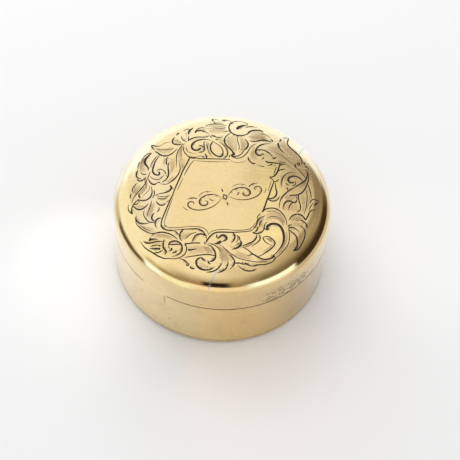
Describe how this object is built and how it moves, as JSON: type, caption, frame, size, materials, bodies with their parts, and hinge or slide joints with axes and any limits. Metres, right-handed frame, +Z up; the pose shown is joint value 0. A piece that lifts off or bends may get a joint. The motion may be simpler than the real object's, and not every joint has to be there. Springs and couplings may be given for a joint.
{
  "type": "round keepsake box with lift-off lid",
  "caption": "Small round gilt-metal keepsake box: a low cup with an inner collar and a softly rounded slip-on lid, its top engraved with a leaf-scroll wreath round a plain panel.",
  "frame": {"origin": "middle of the flat underside, on the surface the box stands on", "axes": "+Z up along the box's axis, the way the lid lifts off; -Y is the side that faces the picture's camera; +X to its right"},
  "size_m": [0.056, 0.056, 0.0293],
  "materials": {
    "base_gilt": "polished and softened by handling, fine random scratches",
    "collar_gilt": "turned satin, rubbed bright by the lid",
    "lid_gilt": "polished, with engraved lines darkened by old tarnish"
  },
  "bodies": {
    "base": {"base_pan": "base_gilt", "base_band": "base_gilt", "inner_collar": "collar_gilt"},
    "lid": {"lid_cap": "lid_gilt"}
  },
  "joints": [
    {"name": "lid_lift", "type": "slide", "parent": "base", "child": "lid", "axis": [0, 0, 1], "range_m": [0, 0.03]}
  ]
}
